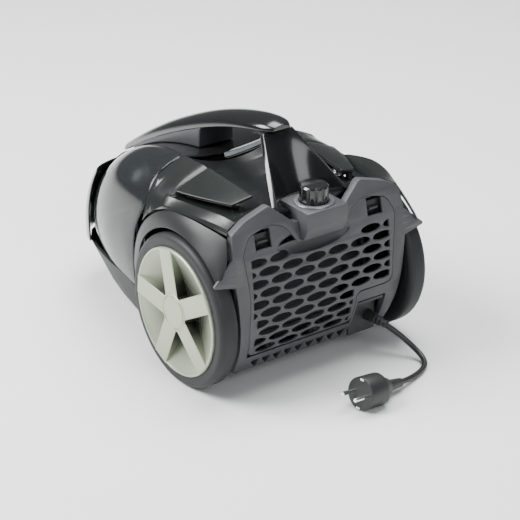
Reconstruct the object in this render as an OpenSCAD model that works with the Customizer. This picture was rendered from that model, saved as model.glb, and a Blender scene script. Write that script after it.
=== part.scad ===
// Bagless canister vacuum cleaner: two large rear wheels, a swivel caster, a clear dust
// container that lifts off by the handle, and an oval-hole exhaust door at the back.
// Millimetres. +Z up, floor at z = 0, hose inlet towards -Y, exhaust towards +Y,
// origin under the middle of the body.

/* [Body] */
// Overall length, from the hose inlet to the back of the tyres
body_len = 411; // [380:1:495]
// Overall width, across the two hubcaps
body_w = 292; // [280:1:350]
// Overall height, floor to the top of the handle
body_h = 277; // [265:1:332]
// Thickness of the moulded plastic shells
wall = 2.5; // [1.5:0.5:3]
// Thickness of the exhaust door
grille_t = 3; // [2:0.5:4]

/* [Wheels] */
// Diameter of the rear tyres
tyre_d = 176; // [160:1:182]
// Width of a rear tyre
tyre_w = 24; // [18:1:26]
// Diameter of the hubcap
hubcap_d = 147; // [120:1:148]
// Diameter of the stub axles
axle_d = 10; // [6:0.5:14]
// Diameter of the caster wheel
caster_d = 36; // [28:1:38]

/* [Hose inlet] */
// Bore of the hose inlet
inlet_d = 38; // [30:1:44]
// Depth of the hose inlet bore
inlet_depth = 42; // [30:1:50]

/* [Drive] */
// Outer diameter of the motor case
motor_d = 104; // [80:1:108]
// Length of the motor case
motor_len = 92; // [70:1:98]
// Diameter of the cord reel flanges
reel_d = 128; // [100:1:134]
// Width of the cord reel between its flanges
reel_w = 38; // [25:1:40]

/* [Controls] */
// Diameter of the power knob
knob_d = 32; // [24:1:38]
// Height of the power knob above its seat
knob_h = 20; // [12:1:24]
// Width of an oval exhaust hole
hole_w = 27.5; // [18:0.5:28]
// Height of an oval exhaust hole
hole_h = 10; // [4:0.5:10.5]

/* [Cord] */
// Diameter of the mains cord
cord_d = 6.5; // [5:0.5:8]

/* [Hidden] */
$fn = 64;

// Clearances
run_fit = 0.05;       // radial gap of a shaft that turns in a bore
seat_gap = 0.3;       // gap between mouldings that sit against each other

// Colours
black = [0.06, 0.06, 0.065];
dark = [0.14, 0.15, 0.15];
grey = [0.30, 0.31, 0.33];
champagne = [0.60, 0.61, 0.52];
metal = [0.72, 0.72, 0.74];
smoke = [0.30, 0.33, 0.34, 0.45];

// Body scale: the shells' guide points below are given for a 411 x 292 x 277 body
kx = body_w / 292;
ky = body_len / 411;
kz = body_h / 277;
function at(x, y, z) = [x * kx, y * ky, z * kz];

half_w = body_w / 2;
nose_y = -body_len / 2;
tyre_r = tyre_d / 2;
wheel_y = body_len / 2 - tyre_r;
wheel_z = tyre_r;
tyre_out_x = half_w - 3.5;                 // outer side of the tyre
tyre_in_x = tyre_out_x - tyre_w;           // inner side of the tyre
housing_x = tyre_in_x - 4;                 // outer face of the wheel housing

// ---------- curves and skins ----------
function mix(a, b, t) = a + (b - a) * t;
function unit(v) = v / norm(v);
function spline_at(p, q, r, s, t) =
    0.5 * (2 * q + (r - p) * t + (2 * p - 5 * q + 4 * r - s) * t * t
           + (3 * q - p - 3 * r + s) * t * t * t);
// A smooth curve through the points, with n steps between each two
function spline(pts, n) = let (last = len(pts) - 1) concat(
    [for (i = [0:last - 1], k = [0:n - 1])
        spline_at(pts[max(i - 1, 0)], pts[i], pts[i + 1], pts[min(i + 2, last)], k / n)],
    [pts[last]]);
// Smooths a grid of points along its rows (rows are stations of the same guide lines)
function smooth_rows(grid, n) =
    let (lines = [for (j = [0:len(grid[0]) - 1]) spline([for (row = grid) row[j]], n)])
    [for (i = [0:len(lines[0]) - 1]) [for (line = lines) line[i]]];
function mirror_row(row) = concat(row, [for (i = [len(row) - 2:-1:0])
    [-row[i][0], row[i][1], row[i][2]]]);
function normal_at(g, i, j) =
    let (rows = len(g) - 1, cols = len(g[0]) - 1,
         du = g[min(i + 1, rows)][j] - g[max(i - 1, 0)][j],
         dv = g[i][min(j + 1, cols)] - g[i][max(j - 1, 0)])
    unit(cross(du, dv));
function inset(g, t) = [for (i = [0:len(g) - 1]) [for (j = [0:len(g[0]) - 1])
    g[i][j] - t * normal_at(g, i, j)]];

function reversed(row) = [for (i = [len(row) - 1:-1:0]) row[i]];
// A shell of thickness t under the grid g, whose rows run rearmost first and left side first
module skin(guide, t) {
    g = [for (row = guide) reversed(row)];
    rows = len(g);
    cols = len(g[0]);
    inner = inset(g, t);
    half = rows * cols;
    points = concat([for (row = g) for (p = row) p], [for (row = inner) for (p = row) p]);
    function id(i, j) = i * cols + j;
    function both(a, b, c, d) = [[a, d, c], [a, c, b], [a + half, b + half, c + half],
        [a + half, c + half, d + half]];
    function edge(a, b) = [[a, b, b + half], [a, b + half, a + half]];
    faces = concat(
        [for (i = [0:rows - 2], j = [0:cols - 2])
            for (f = both(id(i, j), id(i + 1, j), id(i + 1, j + 1), id(i, j + 1))) f],
        [for (i = [0:rows - 2]) for (f = edge(id(i, 0), id(i + 1, 0))) f],
        [for (i = [0:rows - 2]) for (f = edge(id(i + 1, cols - 1), id(i, cols - 1))) f],
        [for (j = [0:cols - 2]) for (f = edge(id(0, j + 1), id(0, j))) f],
        [for (j = [0:cols - 2]) for (f = edge(id(rows - 1, j), id(rows - 1, j + 1))) f]);
    polyhedron(points, faces);
}

// A solid through closed rings of points, each anticlockwise seen from the last ring
module loft(rings) {
    rows = len(rings);
    n = len(rings[0]);
    function middle(ring) = [for (p = ring) 1] * ring / len(ring);
    points = concat([for (ring = rings) for (p = ring) p], [middle(rings[0])],
        [middle(rings[rows - 1])]);
    function id(i, j) = i * n + j % n;
    faces = concat(
        [for (i = [0:rows - 2], j = [0:n - 1]) [id(i, j), id(i + 1, j), id(i + 1, j + 1)]],
        [for (i = [0:rows - 2], j = [0:n - 1]) [id(i, j), id(i + 1, j + 1), id(i, j + 1)]],
        [for (j = [0:n - 1]) [id(0, j), id(0, j + 1), rows * n]],
        [for (j = [0:n - 1]) [id(rows - 1, j + 1), id(rows - 1, j), rows * n + 1]]);
    polyhedron(points, faces);
}

// A round tube along a path, one ring at each point
module tube(path, r, sides) {
    last = len(path) - 1;
    function ring(i) =
        let (t = unit(path[min(i + 1, last)] - path[max(i - 1, 0)]),
             s = unit(cross(t, [0, 0, 1] + 0.01 * [1, 1, 0])), u = cross(s, t))
        [for (k = [0:sides - 1]) path[i] + r * (cos(360 * k / sides) * s
            + sin(360 * k / sides) * u)];
    loft([for (i = [0:last]) [for (k = [sides - 1:-1:0]) ring(i)[k]]]);
}

// Extrudes a YZ outline along X, and an XZ outline along Y
module along_x(x0, x1) { translate([x0, 0, 0]) rotate([90, 0, 90]) linear_extrude(x1 - x0) children(); }
module along_y(y0, y1) { translate([0, y1, 0]) rotate([90, 0, 0]) linear_extrude(y1 - y0) children(); }
// Points of a corner at b, rounded with reach d along both sides
function corner(a, b, c, d, n = 5) =
    let (p = b + d * unit(a - b), q = b + d * unit(c - b))
    [for (k = [0:n]) let (t = k / n) mix(mix(p, b, t), mix(b, q, t), t)];
function rounded(pts, reach) = let (n = len(pts)) [for (i = [0:n - 1])
    for (p = corner(pts[(i + n - 1) % n], pts[i], pts[(i + 1) % n], reach[i])) p];

// ---------- rear face of the body: two arcs that meet at its rearmost line ----------
rear_z = 105 * kz;
rear_max_y = wheel_y + 78;
rear_r_up = 330;
rear_r_low = 140;
function rear_y(z) = z > rear_z
    ? rear_max_y - rear_r_up + sqrt(rear_r_up ^ 2 - (z - rear_z) ^ 2)
    : rear_max_y - rear_r_low + sqrt(rear_r_low ^ 2 - (z - rear_z) ^ 2);
module rear_band(depth, t, z0, z1, half) {
    n = 28;
    along_x(-half, half) polygon(concat(
        [for (i = [0:n]) let (z = mix(z0, z1, i / n)) [rear_y(z) - depth, z]],
        [for (i = [n:-1:0]) let (z = mix(z0, z1, i / n)) [rear_y(z) - depth - t, z]]));
}

// ---------- chassis ----------
floor_z = 14;
deck_z = 62 * kz;                 // top of the chassis tray, under the container
function tray_ring(z, half) = let (side = [for (p = half) [p[0], p[1], z]])
    concat([for (p = side) p], [for (i = [len(side) - 1:-1:0]) [-side[i][0], side[i][1], z]]);
tray_rear_y = wheel_y + 54;      // back of the tray at its top
tray_in = housing_x - 15;         // half width of the tray between the wheels
tray_low = [at(12, -176, 0), at(45, -165, 0), at(66, -143, 0), at(77, -122, 0), at(88, -80, 0),
    at(97, -35, 0), [tray_in, 5 * ky, 0], [tray_in, 24 * ky, 0], [tray_in, tray_rear_y - 20, 0]];
tray_high = [at(15, -200, 0), at(50, -190.5, 0), at(75, -173, 0), at(90, -150, 0), at(96, -132, 0),
    at(106, -80, 0), at(111, -28, 0), [tray_in, 2 * ky, 0], [tray_in, tray_rear_y, 0]];
caster_y = -140 * ky;
screw_spots = [[60, -60], [-60, -60], [60, 20], [-60, 20]];
module tray(grow, z0, z1) {
    function ring(z) = let (t = (z - floor_z) / (deck_z - floor_z),
            half = [for (i = [0:len(tray_low) - 1]) mix(tray_low[i], tray_high[i], t)])
        tray_ring(z, [for (p = half) [p[0] + grow, p[1] + (p[1] < 0 ? -grow : grow)]]);
    loft([ring(z0), ring(mix(z0, z1, 0.5)), ring(z1)]);
}
module motor_cradle() difference() {
    for (y = mount_ys) translate([motor_x - 42, y, floor_z + 1]) cube([84, mount_w, 46 * kz]);
    on_motor(0) cylinder(h = tray_rear_y, d = motor_d + 8 + 2 * seat_gap);
}
module chassis_base() color(dark) difference() {
    union() {
        difference() {
            tray(0, floor_z, deck_z);
            tray(-wall - 1, floor_z + wall, deck_z + 1);
        }
        motor_cradle();
    }
    translate([0, caster_y, floor_z - 1]) cylinder(h = 60, r = caster_well_r + 3 + seat_gap);
    for (p = screw_spots) translate([p[0] * kx, p[1] * ky, floor_z - 1]) cylinder(h = 6, d = 4.4);
}
module body_screws() color(metal) for (p = screw_spots)
    translate([p[0] * kx, p[1] * ky, floor_z - 1.8]) {
        cylinder(h = 1.6, d = 8);
        cylinder(h = 16, d = 4);
    }

// ---------- exhaust door ----------
door_low_z = 44.7 * kz;
door_step_z = 86 * kz;
step_x = -49 * kx;
box_half = 27 * kx;
box_low_z = 170 * kz;
door_mid_z = box_low_z - 1.2;     // top edge of the door under the knob housing
function door_outline(shrink) =
    let (s = shrink, x0 = 94 * kx - s, x1 = 98.5 * kx - s, x2 = 104 * kx - s, zt = 196 * kz - s, zb = door_low_z + s)
    rounded([[x0, zb], [x1, 82 * kz], [x1, 125 * kz], [x2, 172 * kz], [93 * kx - s, 189 * kz - s], [62 * kx, zt],
             [45 * kx, 188 * kz - s], [box_half + 4, door_mid_z - s], [-box_half - 4, door_mid_z - s],
             [-45 * kx, 188 * kz - s], [-62 * kx, zt], [-93 * kx + s, 189 * kz - s],
             [-x2, 172 * kz], [-x1, 125 * kz], [-x1, door_step_z + 2.5 * s], [step_x + s, door_step_z + 2.5 * s],
             [step_x + s, zb]],
            [s > 0 ? 9 : 3, 6, 6, 8, 6, 10, 4, 2, 2, 4, 10, 6, 8, 6, 10, 8, s > 0 ? 8 : 3]);
pitch_x = 31.1 * kx;
pitch_z = 11.85 * kz;
hole_top_z = 158.5 * kz;
hole_rows = 10;
hole_shift_x = 9.4 * kx;          // the pattern's middle column
hole_edge_x = 94 * kx;            // the outer holes are cut off along this line
scoop_x = 10 * kx;                // middle of the scoop under the knob housing
scoop_half = 50 * kx;
scoop_drop = 15 * kz;
scoop_depth = 8;
function row_open(row, x) = row > 0 || x > 45 * kx || x < -50 * kx;
module oval() polygon([for (k = [0:23]) [hole_w / 2 * cos(15 * k), hole_h / 2 * sin(15 * k)]]);
module door_holes() intersection() {
    for (row = [0:hole_rows - 1], col = [-4:3]) {
        x = hole_shift_x + (col + (row % 2 == 0 ? 0.5 : 0)) * pitch_x;
        if (row_open(row, x)) translate([x, hole_top_z - row * pitch_z]) oval();
    }
    union() {
        translate([-hole_edge_x, door_step_z + 6]) square([2 * hole_edge_x, 90 * kz]);
        translate([step_x + 5, 0]) square([hole_edge_x - 5 * kx - step_x - 5, 120 * kz]);
    }
}
// A smooth hollow in the door's top, under the knob housing
module scoop(grow) translate([scoop_x, rear_y(door_mid_z) + 0.5, door_mid_z])
    scale([scoop_half + grow, scoop_depth + grow, scoop_drop + grow]) sphere(r = 1, $fn = 48);
latch_x = 76 * kx;
latch_z = 182 * kz;
latch_half = 10.5;
module door_plate() {
    intersection() {
        along_y(rear_max_y - 60, rear_max_y + 10) polygon(door_outline(0.6));
        rear_band(0, grille_t, door_low_z - 1, 200 * kz, half_w);
    }
    intersection() {
        scoop(grille_t - 0.6);
        along_x(-half_w, half_w) polygon([[rear_max_y - 40, 100 * kz], [rear_y(100 * kz) - 1, 100 * kz],
            [rear_y(140 * kz) - 1, 140 * kz], [rear_y(door_mid_z) - 1, door_mid_z - 0.6],
            [rear_max_y - 40, door_mid_z - 0.6]]);
    }
}
module exhaust_grille() color(grey) {
    difference() {
        door_plate();
        scoop(0);
        along_y(rear_max_y - 60, rear_max_y + 10) door_holes();
        along_y(rear_max_y - 60, rear_max_y + 10) for (s = [-1, 1])
            translate([s * latch_x, latch_z]) square(2 * latch_half, center = true);
    }
    for (x = knuckle_xs) translate([x, 0, 0]) hinge_knuckle();
}
knuckle_xs = [-5 * kx, 55 * kx];
hinge_y = rear_y(door_low_z) - grille_t - 3.2;
hinge_z = door_low_z + 4;
hinge_swing = norm([rear_y(door_low_z) - hinge_y, hinge_z - door_low_z]) + 0.5;
// Pin of the door's hinge, between two ears on the frame's lower rail
module hinge_pin() {
    translate([-9, hinge_y, hinge_z]) rotate([0, 90, 0]) cylinder(h = 18, r = 1.5);
    for (x = [-9, 6]) translate([x, hinge_y, hinge_z]) rotate([90, 0, 90]) linear_extrude(3)
        polygon([[0, 3.2], [-7.5, 3.2], [-7.5, -12], [-4, -12], [-3.2, -6], [-1.2, -3], [1, -2.8], [1, 2.8]]);
}
module hinge_knuckle() difference() {
    union() {
        translate([-5, hinge_y, hinge_z]) rotate([0, 90, 0]) cylinder(h = 10, r = 3.2);
        translate([-5, hinge_y, hinge_z - 2]) cube([10, 4.2, 4]);
    }
    translate([-6, hinge_y, hinge_z]) rotate([0, 90, 0]) cylinder(h = 12, r = 1.5 + run_fit);
}
latch_t = 2;
latch_y = rear_y(latch_z + 6) - grille_t - latch_t - seat_gap;
module latch_tab() color(dark) {
    translate([-latch_half - 1, latch_y, latch_z - latch_half - 1.5]) cube([2 * latch_half + 2, latch_t, 18]);
    translate([-latch_half + 4, latch_y, latch_z - 4]) cube([2 * latch_half - 8, latch_t + 4, 2.5]);
}
module grille_latch_left() translate([latch_x, 0, 0]) latch_tab();
module grille_latch_right() translate([-latch_x, 0, 0]) latch_tab();

// ---------- rear frame, vents and cord bay ----------
frame_depth = 9;
frame_low_z = 19 * kz;
vent_high_z = 35 * kz;
vent_low_z = 21.5 * kz;
vents = 9;
function frame_outline() = rounded([[116 * kx, 140 * kz], [117 * kx, 168 * kz], [113.4 * kx, 195 * kz],
    [95 * kx, 205 * kz], [61 * kx, 214 * kz], [box_half + 6, 190 * kz], [-box_half - 6, 190 * kz],
    [-61 * kx, 214 * kz], [-95 * kx, 205 * kz], [-113.4 * kx, 195 * kz], [-117 * kx, 168 * kz],
    [-116 * kx, 140 * kz], [-112 * kx, 100 * kz], [-105 * kx, 28 * kz], [-93 * kx, 28 * kz],
    [-93 * kx, door_step_z - 14], [step_x - 3, door_step_z - 14], [step_x - 3, frame_low_z + 5],
    [step_x + 4, frame_low_z], [103 * kx, frame_low_z], [112 * kx, 100 * kz]],
    [2, 4, 2, 6, 5, 2, 2, 5, 6, 2, 4, 2, 6, 2, 2, 2, 2, 2, 2, 6, 6]);
// Slanted teeth of the vent along the frame's lower rail
module vent_teeth() for (i = [0:vents - 1]) translate([(78 - 15 * i) * kx, 0])
    polygon([[-5, vent_high_z], [5.5, vent_high_z - 1.5], [5, vent_high_z - 4], [-3.5, vent_low_z], [-5, vent_low_z]]);
wing_t = 2.6;
module wing() intersection() {
    along_y(rear_max_y - 40, rear_max_y + 10)
        polygon([[112 * kx, 170 * kz], [118 * kx, 169 * kz], [143 * kx, 147.5 * kz], [142 * kx, 145 * kz],
                 [118 * kx, 139.5 * kz], [112 * kx, 139 * kz]]);
    rear_band(0, wing_t, 130 * kz, 180 * kz, half_w);
}
module rear_frame() color(grey) {
    difference() {
        union() {
            intersection() {
                along_y(rear_max_y - 70, rear_max_y + 10) polygon(frame_outline());
                rear_band(0, frame_depth, frame_low_z - 2, 216 * kz, half_w);
            }
            wing();
            right_side() wing();
        }
        along_y(rear_max_y - 80, rear_max_y + 20) polygon(door_outline(0));
        along_y(rear_max_y - 80, rear_max_y + 20) vent_teeth();
        box_space(seat_gap);
        along_x(step_x, 94 * kx) translate([hinge_y, hinge_z]) circle(r = hinge_swing);
    }
    for (x = knuckle_xs) translate([x, 0, 0]) hinge_pin();
}
module vent_skirt() color(dark) difference() {
    intersection() {
        along_y(rear_max_y - 80, rear_max_y + 10)
            polygon([[-45 * kx, frame_low_z + 1], [91 * kx, frame_low_z + 1], [91 * kx, vent_high_z + 1],
                     [-45 * kx, vent_high_z + 1]]);
        rear_band(frame_depth + seat_gap, 3, frame_low_z, 60 * kz, half_w);
    }
    for (i = [0:9]) along_y(rear_max_y - 90, rear_max_y + 10)
        translate([(84 - 13 * i) * kx, vent_low_z + 2]) square([8.5 * kx, vent_high_z - vent_low_z - 4]);
}

bay_back_y = tray_rear_y + seat_gap;
bay_x0 = -91 * kx;
bay_x1 = step_x - 4;
gland_x = -81 * kx;
gland_z = 41 * kz;
gland_r = 7;
module cord_bay() color(black) difference() {
    union() {
        translate([bay_x0, bay_back_y, deck_z - 40]) cube([bay_x1 - bay_x0, wall, 68 * kz - deck_z + 40]);
        translate([bay_x0, bay_back_y, 66 * kz]) cube([bay_x1 - bay_x0, 17, 3]);
    }
    translate([gland_x, bay_back_y - 1, gland_z]) rotate([-90, 0, 0]) cylinder(h = 10, r = gland_r + 0.1);
}
module cord_gland() color(black) translate([gland_x, bay_back_y, gland_z]) rotate([-90, 0, 0]) difference() {
    union() {
        translate([0, 0, -3]) cylinder(h = 3, r = gland_r + 2.5);
        cylinder(h = wall + 0.5, r = gland_r);
        translate([0, 0, wall + 0.5]) cylinder(h = 16, r1 = gland_r, r2 = cord_d / 2 + 1.6);
    }
    translate([0, 0, -4]) cylinder(h = 40, d = cord_d + 0.2);
}

// ---------- wheels ----------
// Turns a profile of (radius, x) about a wheel's axle
module on_axle(from = 0, turn = 360) translate([0, wheel_y, wheel_z]) rotate([0, 90, 0]) rotate([0, 0, 180 - from])
    rotate_extrude(angle = -turn, $fn = 96) children();
module right_side() { mirror([1, 0, 0]) children(); }
shoulder_r = 7;
tyre_seat_r = hubcap_d / 2 - 1.5;
module tyre() color(black) on_axle() polygon(concat(
    [[tyre_seat_r, tyre_in_x]],
    [for (a = [0:15:90]) [tyre_r - shoulder_r + shoulder_r * sin(a),
        tyre_in_x + shoulder_r - shoulder_r * cos(a)]],
    [for (a = [90:-15:0]) [tyre_r - shoulder_r + shoulder_r * sin(a),
        tyre_out_x - shoulder_r + shoulder_r * cos(a)]],
    [[hubcap_d / 2 + seat_gap, tyre_out_x], [hubcap_d / 2 + seat_gap, tyre_out_x - 8],
     [tyre_seat_r, tyre_out_x - 8]]));
hub_r = axle_d / 2 + 5;
core_x = tyre_out_x - 12;          // outer face of the wheel core's web
module wheel_core() color(dark) on_axle() polygon([[axle_d / 2 + run_fit, tyre_in_x - 1],
    [hub_r, tyre_in_x - 1], [hub_r, core_x - 4], [tyre_seat_r - 5, core_x - 4],
    [tyre_seat_r - 5, tyre_in_x + 1], [tyre_seat_r - 0.1, tyre_in_x + 1], [tyre_seat_r - 0.1, core_x],
    [axle_d / 2 + 8, core_x], [axle_d / 2 + 8, core_x + 2], [axle_d / 2 + run_fit, core_x + 2]]);
module axle() {
    translate([housing_x - boss_len, wheel_y, wheel_z]) rotate([0, 90, 0])
        cylinder(h = core_x + 3 - housing_x + boss_len, d = axle_d);
    translate([core_x + 2.4, wheel_y, wheel_z]) rotate([0, 90, 0]) cylinder(h = 2.2, d = axle_d + 6);
}
module axles() color(metal) { axle(); right_side() axle(); }
spokes = 5;
spoke_turn = 30;
cap_floor_x = core_x + 5;
module hubcap() color(champagne) difference() {
    union() {
        on_axle() polygon([[0, cap_floor_x], [hubcap_d / 2, cap_floor_x], [hubcap_d / 2, half_w - 1],
            [hubcap_d / 2 - 3, half_w - 1], [hubcap_d / 2 - 3, cap_floor_x + 2], [0, cap_floor_x + 2]]);
        on_axle() polygon([[0, cap_floor_x], [hubcap_d * 0.15, cap_floor_x], [hubcap_d * 0.15, half_w], [0, half_w]]);
        for (i = [0:spokes - 1]) translate([cap_floor_x, wheel_y, wheel_z]) rotate([spoke_turn + i * 72, 0, 0])
            translate([0, 0, -11.5]) cube([half_w - cap_floor_x - 0.4, hubcap_d / 2 - 1.5, 23]);
    }
}
module tyre_left() tyre();
module tyre_right() right_side() tyre();
module wheel_core_left() wheel_core();
module wheel_core_right() right_side() wheel_core();
module hubcap_left() hubcap();
module hubcap_right() right_side() hubcap();
// Domed wall of the body inside each wheel, with the axle's boss
housing_r = rear_max_y - wheel_y - frame_depth - 2;
boss_len = 19;
module wheel_housing() color(dark) on_axle() polygon(concat(
    [[axle_d / 2 + 0.02, housing_x]], [for (a = [0:15:90]) [housing_r - 14 + 14 * sin(a), housing_x - 12 + 12 * cos(a)]],
    [[housing_r, housing_x - 14], [housing_r - wall, housing_x - 14], [housing_r - wall - 12, housing_x - wall],
     [axle_d / 2 + 7, housing_x - wall], [axle_d / 2 + 7, housing_x - boss_len],
     [axle_d / 2 + 0.02, housing_x - boss_len]]));
module wheel_housing_left() wheel_housing();
module wheel_housing_right() right_side() wheel_housing();

// ---------- fenders and upper housing ----------
// Ridge of the wheel arch by angle about the axle: height over the tyre, and x
ridge_rise = [[40, 9], [59, 36], [75, 29], [90, 26], [190, 26]];
ridge_x = [[40, 137], [59, 114], [75, 124], [90, 128], [145, 128], [190, 123]];
lip_x = [[40, 139], [90, 139], [140, 137], [190, 128]];
lip_gap = 6;
function about_axle(turn, r, x) = [x, wheel_y + r * cos(turn), wheel_z + r * sin(turn)];
function ridge(turn) = about_axle(turn, tyre_r + lookup(turn, ridge_rise) * ky, lookup(turn, ridge_x) * kx);
function lip(turn) = about_axle(turn, tyre_r + lip_gap, lookup(turn, lip_x) * kx);
fender_turns = [44, 49, 54, 59, 66, 75, 82, 90, 100, 110, 120, 130, 140, 150, 160, 170, 180, 190];
module fender() color(dark) skin([for (turn = fender_turns) [lip(turn),
    mix(lip(turn), ridge(turn), 0.5) + [1.5, 0, 0], mix(lip(turn), ridge(turn), 0.86)]], wall);
module fender_left() fender();
module fender_right() right_side() fender();

// Guide rows of the upper housing, rear to front: ridge, groove, shoulder, pedal floor, deck
housing_rows = [
    [ridge(61), at(110, 170.6, 196), at(100, 169.8, 202), at(94, 169.5, 203), at(80, 169, 205), at(61, 167, 210),
     at(50, 169, 204), at(28, 170, 198), at(0, 170, 196)],
    [ridge(75), at(113, 148, 197), at(104, 148, 204), at(97, 148, 196), at(80, 148, 197), at(60, 148, 200),
     at(50, 148, 202), at(28, 148, 197), at(0, 148, 196)],
    [ridge(90), at(119, 117, 197), at(109, 117, 203), at(102, 117, 195), at(82, 117, 198), at(60, 117, 201.5),
     at(50, 117, 203), at(28, 117, 196), at(0, 117, 194)],
    [ridge(110), at(121, 80, 193), at(114, 80, 201), at(107, 80, 195), at(86, 80, 203), at(62, 80, 210),
     at(50, 80, 206), at(28, 80, 198), at(0, 80, 196)],
    [ridge(118), at(123, 64, 191), at(117, 65, 200), at(108, 66, 206), at(88, 66, 214.5), at(65, 66, 222),
     at(52, 66, 211), at(28, 66, 200), at(0, 66, 198)],
    [ridge(130), at(126, 46, 182), at(121, 46, 196), at(110, 46, 207), at(90, 45, 217), at(68, 44, 224),
     at(53, 44, 213), at(28, 44, 203), at(0, 44, 201)],
    [ridge(140), at(129, 37.5, 174), at(124, 35, 190), at(108, 31, 210), at(90, 29, 218.5), at(70, 27.5, 225),
     at(55, 27.5, 216), at(28, 27.5, 206), at(0, 27.5, 204)]
];
module upper_housing() color(black) difference() {
    skin(smooth_rows([for (row = housing_rows) mirror_row(row)], 4), wall);
    box_space(seat_gap);
    translate([spring_x, spring_y, 150]) cylinder(h = 80 * kz, r = 3.8);
    translate([-brake_x - 5, brake_y + 4, 150]) cube([10, 22, 80 * kz]);
}

// ---------- knob, its housing and the handle pillar ----------
box_top_z = 203 * kz;
box_back_y = rear_y(box_top_z) + 20;
box_front_y = box_back_y - 52;
knob_y = 176 * ky;
function box_yz(g) = [[box_back_y + g, box_top_z + g], [box_back_y + g, 184 * kz], [rear_y(box_low_z) + 5 + g, box_low_z - g],
    [box_front_y - g, box_low_z - g], [box_front_y - g, box_top_z + g]];
module box_space(g) along_x(-box_half - g, box_half + g) polygon(box_yz(g));
module knob_housing() color(grey) difference() {
    box_space(0);
    along_x(-box_half + wall, box_half - wall) polygon([[box_back_y - wall, box_top_z - wall],
        [box_back_y - wall, 186 * kz], [rear_y(box_low_z), box_low_z - 1], [box_front_y + wall, box_low_z - 1],
        [box_front_y + wall, box_top_z - wall]]);
    translate([0, knob_y, box_top_z - 10]) cylinder(h = 20, r = 4.5);
}
module knob_ring() color(grey) translate([0, knob_y, box_top_z]) rotate_extrude()
    polygon([[knob_d / 2 + 1, 0], [knob_d / 2 + 7, 0], [knob_d / 2 + 6, 2], [knob_d / 2 + 1, 2]]);
flutes = 12;
module power_knob() color(black) translate([0, knob_y, box_top_z + 0.6]) difference() {
    union() {
        cylinder(h = knob_h - 2, d = knob_d);
        translate([0, 0, knob_h - 2]) cylinder(h = 2, r1 = knob_d / 2, r2 = knob_d / 2 - 2);
        translate([0, 0, -8]) cylinder(h = 8, r = 4);
    }
    translate([0, 0, -9]) cylinder(h = 14, r = 3 + run_fit);
    for (i = [0:flutes - 1]) rotate([0, 0, i * 360 / flutes]) translate([knob_d / 2 + 1.2, 0, 3]) cylinder(h = knob_h, r = 2.2);
}
module control_board() color([0.1, 0.3, 0.18]) {
    translate([-24, box_front_y + 3, box_low_z + 3]) cube([48, 30, 1.6]);
    translate([-9, knob_y - 9, box_low_z + 4.6]) cube([18, 18, 10]);
    translate([0, knob_y, box_low_z + 14.6]) cylinder(h = box_top_z - box_low_z - 14, r = 3);
}
// Fan-shaped root of the handle, hollowed towards the knob
pillar_rows = 8;
function pillar_row(t) = let (half = mix(20, 47, t) * kx, edge_y = mix(110, 174, t) * ky,
    mid_y = mix(108, box_front_y / ky - 6, t ^ 0.8) * ky, z = mix(265.2, 206, t) * kz)
    [for (k = [6:-1:-6]) let (s = k / 6) [-half * s, mix(mid_y, edge_y, s * s), z - (1 - s * s) * 4 * t]];
module handle_pillar() color(black) skin([for (i = [0:pillar_rows]) pillar_row(i / pillar_rows)], 7);

// ---------- pedals and what they press ----------
pedal_t = 4;
spring_x = 70 * kx;
spring_y = 128 * ky;
spring_low_z = 201.2 * kz;         // pedal floor under the spring
spring_top_z = 210 * kz;           // underside of the pedal over it
brake_x = 84 * kx;
module pedal() color(dark) skin([
    [at(84, 141, 208), at(72, 144, 211.5), at(61, 147, 215)],
    [at(95, 117, 208), at(78, 119, 214), at(62, 120, 218)],
    [at(105, 92, 207.5), at(84, 93, 215), at(63.5, 94, 221)],
    [at(110, 70.4, 207), at(88, 70.4, 216), at(65, 70.4, 223.5)]], pedal_t);
module power_pedal() pedal();
module rewind_pedal() right_side() pedal();
function helix(turns, r, h, n) = [for (i = [0:turns * n]) [r * cos(360 * i / n), r * sin(360 * i / n), h * i / (turns * n)]];
module pedal_spring() color(metal) translate([spring_x, spring_y, spring_low_z])
    tube(helix(3, 5, spring_top_z - spring_low_z - 1.4, 12), 0.6, 6);
module power_spring() pedal_spring();
module rewind_spring() right_side() pedal_spring();
switch_top_z = 186 * kz;
module switch_plunger() color(grey) translate([spring_x, spring_y, switch_top_z - 14])
    cylinder(h = spring_top_z - seat_gap - switch_top_z + 14, r = 3);
module main_switch() color(black) difference() {
    translate([spring_x - 12, spring_y - 16, switch_top_z - 22]) cube([24, 32, 22]);
    translate([spring_x, spring_y, switch_top_z - 20]) cylinder(h = 30, r = 3 + run_fit);
}
reel_x = -tray_in + 12;
reel_y = 96 * ky;
reel_z = 98 * kz;
reel_t = 2.5;
brake_y = 118 * ky;
brake_z = reel_z + reel_d / 2 + 17;
brake_pin_r = 2.5;
module brake_lever() color(grey) {
    difference() {
        translate([-brake_x - 4, brake_y - 22, brake_z - 4.5]) cube([8, 44, 9]);
        translate([-brake_x - 5, brake_y, brake_z]) rotate([0, 90, 0]) cylinder(h = 10, r = brake_pin_r + run_fit);
    }
    translate([-brake_x - 4, brake_y - 18, reel_z + reel_d / 2 + 5.3]) rotate([0, 90, 0]) cylinder(h = 8, r = 5);
    translate([-brake_x - 4, brake_y - 21, reel_z + reel_d / 2 + 5]) cube([8, 6, 9]);
    translate([-brake_x - 3, brake_y + 11, brake_z + 4]) cube([6, 5, 203.4 * kz - brake_z - 4]);
}

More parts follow.
